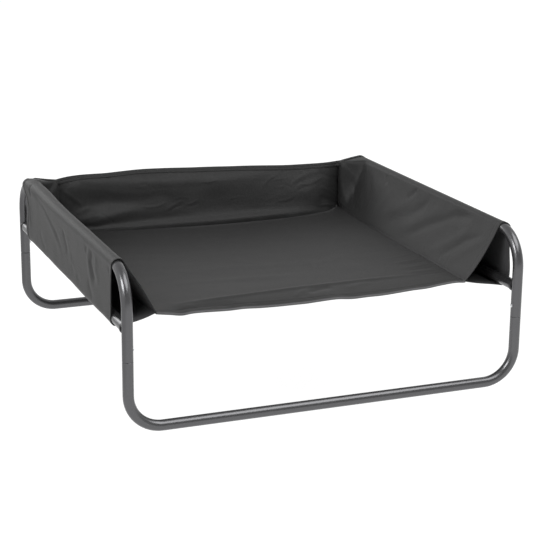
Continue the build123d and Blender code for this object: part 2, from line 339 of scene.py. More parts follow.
def sleeve_section(hand, a, y):
    """Points of a right-hand sleeve's section, a millimetres from the crease, at each Y."""
    crease = through(CREASES[hand], y)
    slack = TOP_SLACK[hand] * smooth(progress(y, SLACK_START[hand], SLACK_FULL))
    radius = (WRAP_RADIUS + slack)[:, None]
    rail = np.array([RAIL_X, TOP_RAIL_Z])
    meeting = rail + radius * np.array([math.cos(MEETING), math.sin(MEETING)])
    peak = rail + radius * UPWARDS
    turn = through(CORNER_TURN, progress(y, CORNER_START[hand], SEAM_Y))
    fold_at = SLOPE_END + turn * (SEAM_END - SLOPE_END)
    turn = turn[:, None]
    fold = meeting + turn * (np.array(SEAM_TOP[hand]) - meeting)

    t = progress(a, 0, fold_at)[:, None]
    dip = through(SLOPE_HOLLOW[hand], y)[:, None] * arch(t) * (1 - turn)
    slope = crease + t * (fold - crease) + dip * INTO_SLEEVE

    t = progress(a, fold_at, PEAK)[:, None]
    crown = fold + t * (peak - fold) + CROWN_RISE * arch(t) * (1 - turn) * OFF_RAIL

    angle = MEETING - (a - SLOPE_END) / WRAP_RADIUS
    over = rail + radius * np.stack([np.cos(angle), np.sin(angle)], axis=1)

    t = progress(a, TOP_END, OUTSIDE_END)[:, None]
    outside_x = RAIL_X + radius + t * (WRAP_RADIUS - radius) - OUTSIDE_HOLLOW * arch(t)
    outside_z = TOP_RAIL_Z - (TOP_RAIL_Z - LOW_RAIL_Z) * t
    outside = np.concatenate([outside_x, outside_z], axis=1)

    angle = progress(a, OUTSIDE_END, LOW_END) * math.pi / 2
    low_x = RAIL_X + LOWEST_ASIDE + (WRAP_RADIUS - LOWEST_ASIDE) * np.cos(angle)
    low = np.stack([low_x, LOW_RAIL_Z - LOW_HANG[hand] * np.sin(angle)], axis=1)

    t = progress(a, LOW_END, SECTION)[:, None]
    lowest = np.array([RAIL_X + LOWEST_ASIDE, LOW_RAIL_Z - LOW_HANG[hand]])
    under = lowest + t * (crease - lowest) - UNDER_SAG[hand] * arch(t) * UPWARDS

    which = (a > fold_at).astype(int)
    for edge in (PEAK, TOP_END, OUTSIDE_END, LOW_END):
        which += a > edge
    return np.choose(which[:, None], [slope, crown, over, outside, low, under])


def sleeve_place(hand, a, along):
    """Points of a right-hand sleeve, from its front edge to its back edge and corner seam."""
    front = through(FRONT_EDGES[hand], a)
    y = front + along * (through(BACK_EDGES[hand], a) - front)
    x, z = sleeve_section(hand, a, y).T
    return np.stack([x, y, z], axis=1)


# Folds: points of (millimetres along the section, Y), half-widths, height
SLEEVE_FOLDS = {
    "right": [
        ([(131, -272), (110, -172), (65, -84), (32, -33), (2, 10)], (10.35, 12.65), -1.68),
        ([(118, -130), (100, -90), (53, -19), (20, 40)], (14.95, 14.95), 0.96),
        ([(134, -64), (99, -33), (70, 8), (46, 63), (20, 120)], (9.2, 25.3), -1.76),
        ([(112, 20), (74, 66), (30, 140)], (16.1, 18.4), 0.72),
        ([(108, -266), (70, -220), (36, -171), (8, -128)], (12.65, 10.35), 1.04),
        ([(106, -322), (74, -258), (26, -202), (0, -180)], (9.2, 9.2), -1.36),
        ([(100, -338), (60, -282), (16, -232)], (9.2, 8.05), 0.72),
        ([(133, 16), (112, 36), (94, 58)], (5, 11), -1.2),
        ([(137, 186), (122, 178), (106, 168)], (5, 9), -1),
        ([(120, 120), (70, 150), (20, 172)], (17.25, 11.5), 0.64),
        ([(30, -112), (18, -128), (8, -140)], (3, 3), 0.5),
        ([(24, -200), (14, -210), (6, -214)], (3, 2), 0.6),
        ([(34, -232), (20, -236), (8, -238)], (3, 3), -0.6),
        ([(200, 290), (238, 120), (268, 10)], (8, 9), -2),
        ([(200, 60), (236, 0), (262, -60)], (10, 12), -1.6),
        ([(190, -190), (230, -210), (262, -218)], (8, 9), -2),
        ([(86, 346), (54, 339), (31, 325), (10, 300)], (7, 7), 0.9),
        ([(88, 318), (69, 313), (43, 295), (12, 268)], (5, 7), -1.6),
        ([(122, 318), (111, 310), (79, 288), (46, 255), (14, 232)], (9, 10), 1.2),
        ([(128, 276), (111, 263), (78, 235), (36, 206)], (10, 11), -1.1),
    ],
    "left": [
        ([(150, 306), (158, 301), (166, 297), (178, 290)], (5, 5), -2.0),
        ([(155, 300), (162, 263), (173, 179), (191, 126), (206, 82), (225, 42), (246, 8)], (5, 7), -1.1),
        ([(176, 196), (196, 132), (214, 92), (236, 54), (256, 18)], (10, 11), 0.8),
        ([(186, 22), (197, 5), (219, -12), (238, -22)], (8, 11), -1.5),
        ([(226, -30), (247, -60), (262, -104)], (9, 9), 1.0),
        ([(160, -196), (172, -180), (190, -166)], (5, 8), -1.4),
        ([(166, -222), (180, -214), (202, -202), (220, -216), (240, -236)], (6, 11), -2.4),
        ([(168, -204), (196, -184), (220, -190), (244, -212)], (8, 10), 0.9),
        ([(172, -250), (206, -238), (236, -262)], (10, 12), 1.1),
        ([(158, -334), (170, -340), (188, -336)], (7, 8), -0.9),
        ([(234, -40), (252, -62), (266, -136)], (7, 8), -1.0),
        ([(238, -180), (256, -196), (272, -226)], (8, 8), -1.1),
        ([(238, 226), (255, 206), (270, 164)], (7, 7), -0.9),
        ([(196, 322), (230, 318), (262, 312)], (7, 9), 0.9),
        ([(94, 344), (64, 333), (26, 316), (2, 286)], (6, 5), 1.0),
        ([(104, 325), (65, 317), (32, 301), (8, 280)], (6, 5), -1.3),
        ([(126, -200), (80, -110), (14, -20)], (8, 14), -2.2),
        ([(128, -30), (92, 30), (44, 110)], (5, 16), -2.4),
        ([(112, -300), (60, -240), (10, -180)], (8, 8), 1.2),
    ],
}
# Rows of stitches, in millimetres from the sleeve's front edge, its crease and its back edge
FRONT_STITCHES = 14.0
SIDE_STITCHES = 5.0
BACK_STITCHES = 12.0


def sleeve_hem(a, ahead):
    """How much of its hem's thickness a sleeve has at its turned-in ends."""
    front = smooth((FRONT_STITCHES + 2 - ahead) / 3)
    back = smooth((BACK_STITCHES + 2 - SLEEVE_LENGTH + ahead) / 3)
    return front + back * (a > PEAK + 4)


def sleeve_lift(hand, a, ahead, points):
    """How far a sleeve's folds, wrinkles, slack, hems and stitches raise it."""
    behind = SLEEVE_LENGTH - ahead
    outside = a > PEAK
    held = smooth(np.minimum(a, SECTION - a) / 8)
    free = smooth(np.abs(a - (SLOPE_END + TOP_END) / 2) / 20)
    folds = fold_heights(SLEEVE_FOLDS[hand], a, points[:, 1])
    loose = unevenness(points, (45, 0.5), (130, 0.9))
    near_hem = bell(ahead - FRONT_STITCHES, 7) + bell(behind - BACK_STITCHES, 7)
    near_hem += 0.8 * bell(a - 8, 6)
    wrinkle = unevenness(points, (11, 0.35)) * near_hem

    stands_off = through(INNER_SLACK[hand], points[:, 1]) * bell(a - SLOPE_END, 15)
    if hand == "left":
        height, (middle, half_width), (middle_y, half_width_y) = LEFT_BULGE
        bulge = bell(points[:, 1] - middle_y, half_width_y) * bell(a - middle, half_width)
        stands_off += height * bulge
    beside_rail = smooth((np.abs(a - TIGHT_MIDDLE) - TIGHT_REACH) / TIGHT_FADE)
    lowest = -RAIL_GAP - DEEPEST * beside_rail
    slack = np.maximum((folds + loose * free + wrinkle) * held + stands_off, lowest)

    puffed = CORNER_PUFF * smooth(behind / 5) * bell(behind - 6, 24)
    puffed *= smooth((SEAM_END + 8 - a) / 14) * smooth(a / 12)
    sewn = groove(ahead - FRONT_STITCHES, 0.4, 1.3) + groove(a - SIDE_STITCHES, 0.35)
    sewn += groove(behind - BACK_STITCHES, 0.4, 1.3) * outside
    doubled = smooth((FRONT_STITCHES + 1 - ahead) / 2)
    doubled += smooth((BACK_STITCHES + 1 - behind) / 2) * outside
    return slack + puffed + sewn + 0.7 * doubled


def make_sleeve(hand):
    """One sleeve. Both are shaped as right-hand ones, and the left one is mirrored."""
    mirror = np.array([-1 if hand == "left" else 1, 1, 1])

    def from_front(along):
        return (along if hand == "right" else 1 - along) * SLEEVE_LENGTH

    def place(across, along):
        return sleeve_place(hand, across * SECTION, from_front(along) / SLEEVE_LENGTH) * mirror

    def lift(across, along, points):
        return sleeve_lift(hand, across * SECTION, from_front(along), points)

    def hem(across, along):
        return sleeve_hem(across * SECTION, from_front(along))

    name = f"{hand}_sleeve_cloth"
    ends = ((0, 0.035, 3), (1, 0.035, 3))
    wraps = ((0, 0.02, 2), (0.39, 0.05, 1), (0.75, 0.03, 1), (1, 0.02, 1))
    flat = (SECTION, SLEEVE_LENGTH)
    sleeve = cloth_sheet(name, (176, 214), flat, place, lift, hem, (wraps, ends))
    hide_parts(f"{hand}_sleeve")
    return sleeve


# The floor
#
# Half its width at its front edge and at the back crease
HALF_FRONT = 338.0
HALF_BACK = 357.0
# Height and place of the floor's free front edge: (X, Z) and (X, Y)
FRONT_EDGE_Z = [
    (-338, 214), (-320, 210.5), (-307, 207.9), (-281, 201.9), (-258, 201.6), (-245, 200.9), (-212, 198.8),
    (-179, 197.2), (-146, 197.7), (-113, 196), (-80, 195.6), (-46, 195.8), (-13, 196), (20, 197.9),
    (53, 199.4), (86, 197.4), (119, 198.7), (152, 199.3), (185, 201.4), (219, 203.7), (252, 205.1),
    (285, 209.1), (318, 211.8), (338, 211),
]
FRONT_EDGE_Y = [
    (-338, -345), (-300, -338), (-258, -327), (-200, -321), (-140, -320), (-60, -324), (60, -330),
    (200, -338), (338, -345),
]
# The line behind the edge where the floor's stretch begins: (X, Y)
STRETCH_LINE = [
    (-338, -343), (-325, -309), (-260, -285), (-172, -270), (-96, -261), (2, -254), (142, -250),
    (249, -253), (317, -272), (338, -343),
]
# The back crease, where the wall stands on the floor: (X, Y)
BACK_CREASE = [
    (-357, 350), (-327, 333), (-297, 320), (-269, 316), (-240, 316.7), (-209, 315.7), (-178, 313.9),
    (-149, 313.1), (-113, 311.3), (-76, 309.3), (-29, 306.2), (20, 303.5), (70, 301.7), (122, 301.2),
    (173, 300.6), (217, 303.3), (258, 307.5), (289, 312.4), (321, 321), (357, 350),
]
FLOOR_SAG = [(-345, 4), (-255, 3.5), (0, 6), (230, 5.5), (300, 6.5), (350, 8)]
FLOOR_FLAT = (690.0, 664.0)
# The shortest stretch behind the front edge
LEAST_STRETCH = 6.0
# How far the floor goes on under the wall, and its curve up into the wall's foot
UNDER_WALL = 1.5
FOOT_RISE = 2.0
FOOT_REACH = 7.0

FLOOR_FOLDS = [
    ([
        (-318, -316), (-262, -285), (-172, -271), (-96, -262), (2, -255), (142, -251), (249, -254),
        (318, -270),
    ], (6, 7), 2.5),
    ([(-300, -322), (-240, -306), (-150, -298)], (5, 12), -1.5),
    ([(6, -292), (30, -276), (70, -270)], (8, 10), -2.2),
    ([(-30, -300), (-10, -282), (10, -268)], (5, 6), 0.9),
    ([(90, -290), (120, -275), (160, -268)], (9, 9), 1.0),
    ([(336, -100), (300, -112), (262, -118)], (3, 6), 0.8),
    ([(339, -146), (300, -154), (250, -158)], (3, 7), 1.0),
    ([(339, -166), (306, -172), (270, -174)], (3, 6), -0.9),
    ([(338, -192), (300, -197), (252, -200)], (3, 8), 1.2),
    ([(337, -216), (304, -219), (262, -220)], (3, 6), -1.0),
    ([(336, -238), (300, -238), (240, -234)], (3, 9), 1.1),
    ([(335, -262), (300, -262), (262, -260)], (3, 6), -0.9),
    ([(-250, -140), (-100, -150), (60, -160)], (14, 16), 0.9),
    ([(-180, -40), (0, -70), (180, -90)], (18, 18), 0.8),
    ([(-60, 10), (-20, -40), (10, -60)], (6, 6), 0.5),
]
# Rows of stitches, in millimetres from the floor's front edge and its creases
HEM_STITCHES = 17.0
FLOOR_SIDE_STITCHES = 4.0


def floor_place(across, along):
    """The floor hangs between both sleeves' creases and drops to its free front edge."""
    side = 2 * across - 1
    front = through(FRONT_EDGE_Y, side * HALF_FRONT)
    back = through(BACK_CREASE, side * HALF_BACK) + UNDER_WALL
    y = front + along * (back - front)
    left, left_z = (through(CREASES["left"], y) * np.array([-1, 1])).T
    right, right_z = through(CREASES["right"], y).T
    x = left + across * (right - left)
    level = left_z + across * (right_z - left_z)
    sag = through(FLOOR_SAG, y) * (1 - side**2)
    stretch = np.maximum(through(STRETCH_LINE, x) - front, LEAST_STRETCH)
    loose = np.clip(1 - (y - front) / stretch, 0, 1)
    drop = level - sag - through(FRONT_EDGE_Z, x)
    curl = 1 - np.sqrt(1 - np.clip(1 - (back - y) / FOOT_REACH, 0, 1) ** 2)
    z = level - sag - drop * loose**1.5 + FOOT_RISE * (1 - side**6) * curl
    return np.stack([x, y, z], axis=1)


def floor_lift(across, along, points):
    """How far the floor's folds, wrinkles and stitches raise it."""
    ahead = along * FLOOR_FLAT[1]
    aside = np.minimum(across, 1 - across) * FLOOR_FLAT[0]
    held = smooth(aside / 6) * smooth((1 - along) * FLOOR_FLAT[1] / 6)
    folds = fold_heights(FLOOR_FOLDS, points[:, 0], points[:, 1])
    loose = unevenness(points * np.array([0.5, 1, 1]), (40, 0.5)) + unevenness(points, (150, 1.0))
    wrinkle = unevenness(points, (12, 0.5)) * (bell(ahead - HEM_STITCHES, 9) + bell(aside - 6, 6))
    sewn = groove(ahead - HEM_STITCHES) + groove(aside - FLOOR_SIDE_STITCHES, 0.3)
    return (folds + loose + wrinkle) * held + sewn * smooth(aside / 3)


# The back wall
#
# Side-on shapes of the wall from its crease to its free top: (X, Y and Z of eight points in turn)
WALL_SHAPES = [
    (-357, [350, 213, 350, 219, 350, 232, 350, 250,
        350, 268, 350.5, 290, 351, 312, 352, 332.5]),
    (-327, [333, 207.4, 332.6, 213.5, 336.2, 222.3, 337, 233,
        347, 260, 350.5, 302, 354, 317.5, 362, 335]),
    (-297, [320, 206.2, 319.1, 212.7, 325, 221.7, 325.5, 236.7,
        339, 269.2, 342, 309, 347, 327.4, 356, 338.5]),
    (-269, [316, 205.6, 314.9, 212.8, 320, 221.4, 320.8, 240.5,
        337.7, 270.4, 340.2, 306.4, 345.1, 324.9, 357.2, 338.3]),
    (-240, [316.7, 205.4, 315.6, 213.1, 322, 223.7, 323, 243.6,
        340.3, 271.6, 342.5, 303, 347.5, 321.5, 361, 337.1]),
    (-209, [315.7, 205.3, 314.7, 212.5, 322.3, 224.7, 324, 248.2,
        337.3, 269.5, 339.6, 296.6, 345.1, 319.1, 361.9, 338.1]),
    (-178, [313.9, 205.1, 313, 211.9, 322.1, 226, 324.6, 249.6,
        333.9, 270.4, 336.5, 295.1, 342.1, 318.3, 362.1, 339.4]),
    (-149, [313.1, 205, 312, 212.6, 321.5, 226.6, 324, 247.3,
        332.5, 272, 334.8, 293.2, 340.7, 316.4, 363.4, 339.8]),
    (-113, [311.3, 205, 310.3, 212.6, 320.3, 227.5, 323.8, 249.3,
        331.1, 276.7, 333.1, 295.6, 338, 315.5, 360.5, 339.7]),
    (-76, [309.3, 205, 308.2, 212.8, 319.4, 228.3, 323.2, 246.4,
        327.7, 269.7, 330.2, 293.4, 335.5, 315, 357.8, 338.9]),
    (-29, [306.2, 205, 305.1, 212.9, 315.6, 226.8, 321, 240.7,
        325.5, 264.2, 330.5, 292.3, 336.2, 312.9, 355.8, 337]),
    (20, [303.5, 205.1, 302.4, 213, 313.7, 227.6, 319.6, 242,
        323.3, 263.2, 327.8, 295.3, 333.1, 312.3, 353, 335.9]),
    (70, [301.7, 205.3, 300.6, 213.2, 312.3, 229.3, 317.7, 243.3,
        321, 262.3, 327.4, 295.3, 334, 312.2, 351.7, 333.8]),
    (122, [301.2, 205.5, 300, 213.4, 311.9, 229.8, 316.2, 242.9,
        320.5, 263, 328.3, 294.7, 335.2, 313.2, 349.4, 332.2]),
    (173, [300.6, 206.4, 299.5, 214.6, 309.7, 229.2, 314.4, 242.3,
        319.4, 262.3, 329.2, 292.4, 336.7, 309.6, 349.5, 329.2]),
    (217, [303.3, 207.1, 302.5, 214.4, 310.7, 229.2, 314.9, 240.8,
        320.9, 263.2, 331.5, 290.8, 338.4, 304.3, 351.2, 326.4]),
    (258, [307.5, 208.5, 306.8, 214.9, 312.7, 228.2, 316.4, 241.1,
        321.5, 265.1, 331.7, 290.4, 338.6, 303.9, 351.2, 325.7]),
    (289, [312.4, 209.9, 312, 215.5, 315.3, 226.4, 316.9, 241.1,
        320.7, 265.4, 327.5, 289, 334.3, 305.1, 346.2, 326.5]),
    (321, [321, 212, 320.9, 215.6, 322.9, 225.2, 324.5, 240,
        327.2, 262.2, 332.7, 286.1, 339, 304.7, 347, 326.5]),
    (357, [350, 215.5, 350, 219, 350, 230, 350, 245,
        350, 261, 350, 279, 350, 302, 350.5, 328]),
]
WALL_FLAT = (717.0, 146.0)
# A shape's first point moves forwards, its second back and up, and more so in a bell round X
FOOT_FORWARDS = 1.0
FOOT_BACK = 1.5
FOOT_LIFT = 1.5
FOOT_BULGE = 0.9
BULGE_X = (130, 90)
# The folds' heights are above this
CREASE_Z = 208.0

# Folds: points of (X, height above the crease), half-widths, height
WALL_FOLDS = [
    ([(-346, 101), (-313, 74), (-291, 58)], (3, 4), 0.8),
    ([(-354, 95), (-321, 67), (-301, 51)], (4, 5), -0.35),
    ([(-264, 43), (-251, 37), (-226, 15)], (1.8, 1.8), -0.55),
    ([(-258, 44), (-245, 38), (-222, 17)], (1.8, 1.8), 0.35),
    ([(-304, 28), (-281, 37), (-259, 39)], (3, 4), 1.1),
    ([(-310, 35), (-290, 44), (-268, 47)], (2, 3), -0.7),
    ([(-318, 39), (-301, 50), (-279, 57)], (2.5, 4), 0.9),
    ([(-162, 101), (-146, 101), (-137, 92)], (1.6, 1.6), -0.6),
    ([(-170, 93), (-160, 95), (-149, 94)], (1.6, 1.6), 0.45),
    ([(-163, 50), (-140, 47), (-120, 48), (-97, 57)], (3, 3), 0.8),
    ([(-106, 34), (-84, 47), (-63, 56), (-51, 49)], (2.2, 2.2), 0.6),
    ([(-98, 30), (-78, 42), (-55, 47)], (2.5, 2.5), -0.6),
    ([(-55, 48), (-35, 49), (-18, 59)], (2, 2), 0.55),
    ([(-51, 41), (-31, 43), (-11, 50)], (2.5, 3), -0.4),
    ([(-84, 61), (-64, 66), (-40, 61)], (2.5, 2.5), 0.4),
    ([(57, 53), (73, 55), (90, 58)], (1.8, 1.8), 0.4),
    ([(61, 41), (71, 35), (83, 25)], (1.8, 1.8), 0.4),
    ([(146, 40), (156, 44), (169, 48)], (1.8, 1.8), 0.4),
    ([(173, 40), (203, 39), (228, 48)], (2.4, 2.4), 0.35),
    ([(179, 33), (208, 33), (229, 42)], (2.6, 2.6), -0.3),
    ([(140, 74), (165, 92), (193, 103)], (3, 3), 0.5),
    ([(169, 87), (185, 89), (205, 90)], (1.8, 1.8), 0.4),
    ([(202, 76), (212, 73), (223, 64)], (1.8, 1.8), -0.6),
    ([(175, 72), (193, 70), (208, 75)], (1.8, 1.8), 0.4),
    ([(215, 73), (238, 86), (267, 96), (298, 106)], (3, 5), 0.6),
    ([(222, 67), (245, 78), (274, 87), (308, 96)], (4, 6), -0.6),
    ([(228, 67), (248, 74), (264, 71), (282, 78), (310, 89)], (2, 3), 0.5),
    ([(231, 58), (251, 65), (272, 72)], (2, 3), -0.5),
    ([(248, 48), (268, 58), (292, 69)], (4, 5), 0.35),
    ([(354, 13), (320, 29), (288, 41)], (4, 8), -1.5),
    ([(350, 30), (318, 54), (290, 66)], (3, 5), 0.8),
    ([(351, 70), (324, 86), (294, 99)], (4, 6), -0.7),
    ([(351, 9), (314, 19), (279, 20)], (1.8, 4), 0.7),
    ([(-287, 131), (-285, 125), (-285, 117)], (1.6, 2.4), -0.6),
    ([(-15, 98), (6, 95), (35, 100)], (2.5, 2.5), 0.6),
    ([(-354, 116), (-343, 119), (-323, 119)], (2, 4), 0.5),
]


def wall_place(across, along):
    """The wall, in a smooth curve through the points of its side-on shapes."""
    x = (across - 0.5) * WALL_FLAT[0]
    shape = through(WALL_SHAPES, x).reshape(len(x), -1, 2)
    foot = FOOT_RISE * (1 - (2 * across - 1) ** 6)
    shape[:, 0, 1] += foot
    shape[:, 0, 0] -= FOOT_FORWARDS
    shape[:, 1, 0] += FOOT_BACK * foot / FOOT_RISE
    shape[:, 1, 1] += foot * (FOOT_LIFT + FOOT_BULGE * bell(x - BULGE_X[0], BULGE_X[1]))
    last = shape.shape[1] - 1
    step = along * last
    i = np.clip(step.astype(int), 0, last - 1)
    t = (step - i)[:, None]
    rows = np.arange(len(x))
    p0, p1 = shape[rows, np.maximum(i - 1, 0)], shape[rows, i]
    p2, p3 = shape[rows, i + 1], shape[rows, np.minimum(i + 2, last)]
    bend = t * (2 * p0 - 5 * p1 + 4 * p2 - p3 + t * (3 * (p1 - p2) + p3 - p0))
    bent = p1 + 0.5 * t * (p2 - p0 + bend)
    return np.stack([x, bent[:, 0], bent[:, 1]], axis=1)


def wall_lift(across, along, points):
    """How far the wall's folds, wrinkles and corner seams raise it."""
    aside = np.minimum(across, 1 - across) * WALL_FLAT[0]
    below = (1 - along) * WALL_FLAT[1]
    held = smooth(aside / 5) * smooth(along * 8.75) * smooth((1 - along) * 8)
    folds = fold_heights(WALL_FOLDS, points[:, 0], points[:, 2] - CREASE_Z)
    loose = unevenness(points, (28, 0.5), (75, 1.2))
    wrinkle = unevenness(points, (10, 0.5)) * (bell(aside - 8, 10) + bell(below - 12, 8))
    return (folds + loose + wrinkle) * held + groove(aside - 4)


left_sleeve = make_sleeve("left")
right_sleeve = make_sleeve("right")

rims = ((0, 0.02, 2), (1, 0.02, 2))
crowd = (rims, ((0, 0.035, 3), (1, 0.02, 4)))
floor_cloth = cloth_sheet("floor_cloth", (200, 200), FLOOR_FLAT, floor_place, floor_lift, crowd=crowd)
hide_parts("floor_panel")

crowd = (rims, ())
wall_cloth = cloth_sheet("back_wall_cloth", (300, 90), WALL_FLAT, wall_place, wall_lift, crowd=crowd)
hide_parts("back_wall")

# The hem along the floor's front edge
FRONT_HEM_FLAT = (690.0, 26.0)
# The floor's direction this far in from its edge is the hem's
DIRECTION_REACH = 22.0
# Its section: share of its width, then how far inwards of the edge and above it
FRONT_HEM_SECTION = [
    (0, (2.2, 0.3)), (0.1, (0.2, 0.3)), (0.2, (-1.1, -0.8)), (0.3, (0.0, -2.0)),
    (0.45, (4, -2.1)), (1, (19, -1.9)),
]


def front_hem_place(across, along):
    """The floor's edge turned forwards, down and back under itself."""
    edge = on_sheet("floor_cloth", across, np.zeros_like(along))
    further = np.full_like(along, DIRECTION_REACH / FLOOR_FLAT[1])
    inwards = on_sheet("floor_cloth", across, further) - edge
    inwards /= np.linalg.norm(inwards, axis=1)[:, None]
    section = through(FRONT_HEM_SECTION, along)
    return edge + inwards * section[:, :1] + np.array([0, 0, 1]) * section[:, 1:]


front_hem = cloth_sheet("front_hem_cloth", (240, 24), FRONT_HEM_FLAT, front_hem_place)
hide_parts("front_hem")

# The hem along the bed's free back edge: its runs over the wall and over each sleeve's corner
WALL_RUN = 714.0
GUSSET = 63.0
BACK_HEM_FLAT = (WALL_RUN + 2 * GUSSET, 25.0)
# Where it starts on the left sleeve's section
LEFT_START = PEAK - 9
# How far it reaches down in front, and its rows of stitches below the edge
HEM_REACH = 12.5
HEM_ROWS = (2.4, 6.6, 10.8)
# The share of its width where it comes up to just below the edge, and where it turns over
HEM_TOP = 0.58
HEM_TOP_REACH = 0.9
HEM_TURN = 0.6
# Its section: share of its width, then how far below the edge and off the cloth
HEM_DOWN = [(0, HEM_REACH), (HEM_TOP, HEM_TOP_REACH), (0.66, -0.7), (0.74, 0.9), (1, 7.0)]
HEM_OFF = [(0, 1.3), (0.05, 1.6), (0.3, 1.5), (HEM_TOP, 0.9), (0.66, -0.5), (0.74, -1.9), (1, -1.9)]
# Down is the way to a line this far below the edge, evened out with this many neighbours
DOWN_REACH = 8.0
NEIGHBOURS = 6


def back_edge(across, below):
    """The bed's free back edge from one top rail over the wall to the other, or a line below it."""
    run = across * BACK_HEM_FLAT[0] - GUSSET
    on_wall = on_sheet(
        "back_wall_cloth",
        0.5 + (run - WALL_RUN / 2) / WALL_FLAT[0],
        np.full_like(run, 1 - below / WALL_FLAT[1]),
    )
    reach = below / SLEEVE_LENGTH
    a = LEFT_START + progress(run, -GUSSET, 0) * (SEAM_END - LEFT_START)
    on_left = on_sheet("left_sleeve_cloth", a / SECTION, np.full_like(run, reach))
    a = SEAM_END + progress(run, WALL_RUN, WALL_RUN + GUSSET) * (PEAK - SEAM_END)
    on_right = on_sheet("right_sleeve_cloth", a / SECTION, np.full_like(run, 1 - reach))
    which = np.where(run < 0, 0, np.where(run > WALL_RUN, 2, 1))
    return np.choose(which[:, None], [on_left, on_wall, on_right])


def evened_out(line):
    """A line of points or directions, each averaged with its neighbours."""
    kernel = bell(np.arange(-NEIGHBOURS, NEIGHBOURS + 1), NEIGHBOURS / 2)
    padded = np.pad(line, ((NEIGHBOURS, NEIGHBOURS), (0, 0)), "edge")
    return np.stack([np.convolve(row, kernel / kernel.sum(), "valid") for row in padded.T], axis=1)


def back_hem_place(across, along):
    """The free edge turned over: 12.5 mm down its front and a little down its back."""
    line, which = np.unique(across, return_inverse=True)
    edge = back_edge(line, 0.0)
    down = evened_out(back_edge(line, DOWN_REACH) - edge)
    edge = evened_out(edge)
    down /= np.linalg.norm(down, axis=1)[:, None]
    out = np.cross(down, np.gradient(edge, axis=0))
    out /= np.linalg.norm(out, axis=1)[:, None]
    reach = through(HEM_DOWN, along)
    stand = through(HEM_OFF, along)
    stand += sum(groove(reach - row, 0.3, 0.9) for row in HEM_ROWS) * (along < HEM_TURN)
    return edge[which] + down[which] * reach[:, None] + out[which] * stand[:, None]


back_hem = cloth_sheet("back_hem_cloth", (300, 56), BACK_HEM_FLAT, back_hem_place)
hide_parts("back_hem")

# Stitching: rows of lockstitch in bonded thread, 3.3 mm long every 4.4 mm
#
# Shares of a sheet from which and to which rows run
NEARLY_ALL = (0.01, 0.99)
WHOLE_HEM = (0.005, 0.995)
SEAM_HEIGHTS = (0.03, 0.9)
# The wall's rows beside its seams, and its bar tacks: start and way, heights, and length
WALL_SIDE_STITCHES = 5.5
TACK_SIDES = ((0.01, 1), (0.99, -1))
TACK_HEIGHTS = (0.05, 0.12)
TACK_LENGTH = 4.0


def stitch_along(name, points, length, pitch, girth):
    """One row of stitches that follows its points."""
    bpy.ops.object.select_all(action="DESELECT")
    bpy.ops.mesh.primitive_uv_sphere_add(segments=6, ring_count=4, radius=1)
    stitch = bpy.context.object
    stitch.data.transform(Matrix.Diagonal((length / 2 * MM, girth * MM, girth * MM, 1)))
    stitch.data.transform(Matrix.Translation((length / 2 * MM, 0, 0)))
    line = bpy.data.curves.new(name, "CURVE")
    line.dimensions = "3D"
    spline = line.splines.new("POLY")
    spline.points.add(len(points) - 1)
    for knot, point in zip(spline.points, points):
        knot.co = (*(point * MM), 1)
    seam = bpy.data.objects.new(name, line)
    bpy.context.scene.collection.objects.link(seam)
    repeat = stitch.modifiers.new("repeat", "ARRAY")
    repeat.fit_type = "FIT_CURVE"
    repeat.curve = seam
    repeat.use_relative_offset = False
    repeat.use_constant_offset = True
    repeat.constant_offset_displace = (pitch * MM, 0, 0)
    follow = stitch.modifiers.new("follow", "CURVE")
    follow.object = seam
    apply_all(stitch)
    bpy.data.objects.remove(seam)
    return stitch


def stitch_rows(name, rows, length=3.3, pitch=4.4, girth=0.36):
    """One piece of stitching. Each row follows its own points, in millimetres."""
    made = [stitch_along(name, points, length, pitch, girth) for points in rows]
    bpy.ops.object.select_all(action="DESELECT")
    for stitch in made:
        stitch.select_set(True)
    bpy.context.view_layer.objects.active = made[0]
    bpy.ops.object.join()
    piece = bpy.context.object
    piece.name = piece.data.name = name
    bpy.ops.object.shade_smooth()
    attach(piece, "bed")
    return piece


def row_on(sheet, count, across, along, above=0.12):
    """Points of a row on a sheet, from its first share to its last, across and along."""
    way = np.linspace(0, 1, count)
    across = across[0] + way * (across[1] - across[0])
    along = along[0] + way * (along[1] - along[0])
    return on_sheet(sheet, across, along, above)


def stitch_sleeve(hand):
    """Rows along a sleeve's front and back ends and its crease."""
    cloth = f"{hand}_sleeve_cloth"
    front = FRONT_STITCHES / SLEEVE_LENGTH
    back = 1 - BACK_STITCHES / SLEEVE_LENGTH
    if hand == "left":
        front, back = 1 - front, 1 - back
    side = SIDE_STITCHES / SECTION
    outside = ((PEAK + 6) / SECTION, NEARLY_ALL[1])
    rows = [
        row_on(cloth, 120, NEARLY_ALL, (front, front)),
        row_on(cloth, 90, outside, (back, back)),
        row_on(cloth, 160, (side, side), NEARLY_ALL),
    ]
    return stitch_rows(f"{hand}_sleeve_stitches", rows)


def stitch_floor():
    """Rows along the front hem and beside both creases."""
    hem = HEM_STITCHES / FLOOR_FLAT[1]
    side = FLOOR_SIDE_STITCHES / FLOOR_FLAT[0]
    rows = [row_on("floor_cloth", 140, WHOLE_HEM, (hem, hem))]
    rows += [row_on("floor_cloth", 160, (at, at), NEARLY_ALL) for at in (side, 1 - side)]
    return stitch_rows("floor_stitches", rows)


def stitch_wall():
    """Three rows along the back hem, and one beside each corner seam."""
    lines = [HEM_TOP * (HEM_REACH - row) / (HEM_REACH - HEM_TOP_REACH) for row in HEM_ROWS]
    side = WALL_SIDE_STITCHES / WALL_FLAT[0]
    rows = [row_on("back_hem_cloth", 220, WHOLE_HEM, (line, line)) for line in lines]
    rows += [row_on("back_wall_cloth", 60, (at, at), SEAM_HEIGHTS) for at in (side, 1 - side)]
    return stitch_rows("back_wall_stitches", rows)


